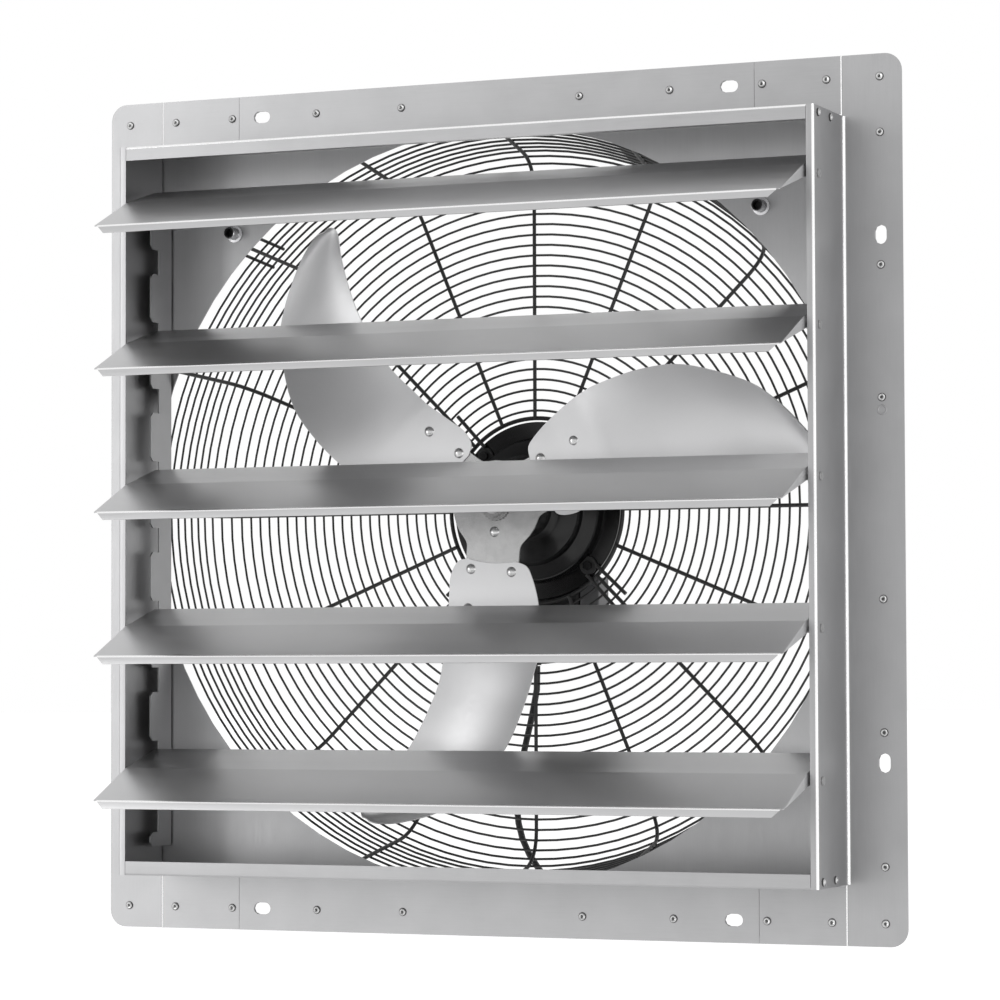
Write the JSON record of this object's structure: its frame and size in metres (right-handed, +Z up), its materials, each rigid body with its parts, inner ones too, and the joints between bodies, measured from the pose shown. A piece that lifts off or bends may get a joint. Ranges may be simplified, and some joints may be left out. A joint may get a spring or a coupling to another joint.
{
  "type": "exhaust fan",
  "caption": "Wall exhaust fan in a square flanged frame, with gravity louvres in front, a bladed rotor, and a wire guard carrying the motor behind.",
  "frame": {"origin": "on the fan's axis, in the front plane of the mounting flange", "axes": "+Z up; the louvres face -Y, and the guard and motor are on the +Y side; +X to the right seen from the louvre side"},
  "size_m": [0.7, 0.286, 0.697],
  "materials": {
    "wall_panel": "satin zinc-coated sheet",
    "side_rail_left": "satin zinc-coated sheet",
    "side_rail_right": "satin zinc-coated sheet",
    "top_rail": "satin zinc-coated sheet",
    "bottom_rail": "satin zinc-coated sheet",
    "corner_plate_top_left": "satin zinc-coated sheet",
    "corner_plate_top_right": "satin zinc-coated sheet",
    "corner_plate_bottom_left": "satin zinc-coated sheet",
    "corner_plate_bottom_right": "satin zinc-coated sheet",
    "wire_guard": "satin black coating",
    "guard_bend": "satin black coating",
    "guard_skirt": "satin black coating",
    "guard_bolt_1": "zinc-plated",
    "guard_bolt_2": "zinc-plated",
    "guard_bolt_3": "zinc-plated",
    "guard_bolt_4": "zinc-plated",
    "motor_bolt_1": "satin black paint",
    "motor_bolt_2": "satin black paint",
    "motor_bolt_3": "satin black paint",
    "motor_bolt_4": "satin black paint",
    "motor_front_shield": "satin black paint",
    "motor_rear_shell": "satin black paint",
    "stator_core": "bright",
    "front_winding": "lacquered wire",
    "rear_winding": "lacquered wire",
    "front_bearing": "bright",
    "rear_bearing": "bright",
    "terminal_box": "matte black",
    "terminal_lid": "matte black",
    "capacitor": "matte grey",
    "cord_gland": "matte black",
    "cord_lead": "matte black",
    "cord_coil": "matte black",
    "coil_tie": "matte black",
    "power_plug": "matte black",
    "motor_shaft": "bright",
    "rotor": "bright",
    "hub_boss": "bright",
    "hub_spider": "satin zinc-coated sheet",
    "hub_nut": "zinc-plated",
    "fan_blade_1": "satin sheet",
    "fan_blade_2": "satin sheet",
    "fan_blade_3": "satin sheet",
    "louvre_1": "satin sheet",
    "louvre_pin_1": "bright",
    "louvre_crank_1": "bright",
    "louvre_2": "satin sheet",
    "louvre_pin_2": "bright",
    "louvre_crank_2": "bright",
    "louvre_3": "satin sheet",
    "louvre_pin_3": "bright",
    "louvre_crank_3": "bright",
    "louvre_4": "satin sheet",
    "louvre_pin_4": "bright",
    "louvre_crank_4": "bright",
    "louvre_5": "satin sheet",
    "louvre_pin_5": "bright",
    "louvre_crank_5": "bright",
    "tie_bar": "satin zinc-coated sheet"
  },
  "bodies": {
    "frame": {"wall_panel": "wall_panel", "side_rail_left": "side_rail_left", "side_rail_right": "side_rail_right", "top_rail": "top_rail", "bottom_rail": "bottom_rail", "corner_plate_top_left": "corner_plate_top_left", "corner_plate_top_right": "corner_plate_top_right", "corner_plate_bottom_left": "corner_plate_bottom_left", "corner_plate_bottom_right": "corner_plate_bottom_right", "wire_guard": "wire_guard", "guard_bend": "guard_bend", "guard_skirt": "guard_skirt", "guard_bolt_1": "guard_bolt_1", "guard_bolt_2": "guard_bolt_2", "guard_bolt_3": "guard_bolt_3", "guard_bolt_4": "guard_bolt_4", "motor_bolt_1": "motor_bolt_1", "motor_bolt_2": "motor_bolt_2", "motor_bolt_3": "motor_bolt_3", "motor_bolt_4": "motor_bolt_4", "motor_front_shield": "motor_front_shield", "motor_rear_shell": "motor_rear_shell", "stator_core": "stator_core", "front_winding": "front_winding", "rear_winding": "rear_winding", "front_bearing": "front_bearing", "rear_bearing": "rear_bearing", "terminal_box": "terminal_box", "terminal_lid": "terminal_lid", "capacitor": "capacitor", "cord_gland": "cord_gland", "cord_lead": "cord_lead", "cord_coil": "cord_coil", "coil_tie": "coil_tie", "power_plug": "power_plug"},
    "fan": {"motor_shaft": "motor_shaft", "rotor": "rotor", "hub_boss": "hub_boss", "hub_spider": "hub_spider", "hub_nut": "hub_nut", "fan_blade_1": "fan_blade_1", "fan_blade_2": "fan_blade_2", "fan_blade_3": "fan_blade_3"},
    "louvre_1": {"louvre_1": "louvre_1", "louvre_pin_1": "louvre_pin_1", "louvre_crank_1": "louvre_crank_1"},
    "louvre_2": {"louvre_2": "louvre_2", "louvre_pin_2": "louvre_pin_2", "louvre_crank_2": "louvre_crank_2"},
    "louvre_3": {"louvre_3": "louvre_3", "louvre_pin_3": "louvre_pin_3", "louvre_crank_3": "louvre_crank_3"},
    "louvre_4": {"louvre_4": "louvre_4", "louvre_pin_4": "louvre_pin_4", "louvre_crank_4": "louvre_crank_4"},
    "louvre_5": {"louvre_5": "louvre_5", "louvre_pin_5": "louvre_pin_5", "louvre_crank_5": "louvre_crank_5"},
    "tie_bar": {"tie_bar": "tie_bar"}
  },
  "joints": [
    {"name": "fan_spin", "type": "hinge", "parent": "frame", "child": "fan", "pos_m": [0, 0, 0], "axis": [0, 1, 0], "continuous": true},
    {"name": "louvre_1_pivot", "type": "hinge", "parent": "frame", "child": "louvre_1", "pos_m": [0, -0.0635, 0.2482], "axis": [1, 0, 0], "range_deg": [0, 60]},
    {"name": "louvre_2_pivot", "type": "hinge", "parent": "frame", "child": "louvre_2", "pos_m": [0, -0.0635, 0.13155], "axis": [1, 0, 0], "range_deg": [0, 60]},
    {"name": "louvre_3_pivot", "type": "hinge", "parent": "frame", "child": "louvre_3", "pos_m": [0, -0.0635, 0.0149], "axis": [1, 0, 0], "range_deg": [0, 60]},
    {"name": "louvre_4_pivot", "type": "hinge", "parent": "frame", "child": "louvre_4", "pos_m": [0, -0.0635, -0.10175], "axis": [1, 0, 0], "range_deg": [0, 60]},
    {"name": "louvre_5_pivot", "type": "hinge", "parent": "frame", "child": "louvre_5", "pos_m": [0, -0.0635, -0.2184], "axis": [1, 0, 0], "range_deg": [0, 60]},
    {"name": "tie_bar_pivot", "type": "hinge", "parent": "louvre_1", "child": "tie_bar", "pos_m": [-0.293, -0.0305, 0.2482], "axis": [1, 0, 0], "range_deg": [-60, 0]}
  ],
  "couplings": [
    {"joint": "louvre_2_pivot", "follows": "louvre_1_pivot", "ratio": 1},
    {"joint": "louvre_3_pivot", "follows": "louvre_1_pivot", "ratio": 1},
    {"joint": "louvre_4_pivot", "follows": "louvre_1_pivot", "ratio": 1},
    {"joint": "louvre_5_pivot", "follows": "louvre_1_pivot", "ratio": 1},
    {"joint": "tie_bar_pivot", "follows": "louvre_1_pivot", "ratio": -1}
  ]
}
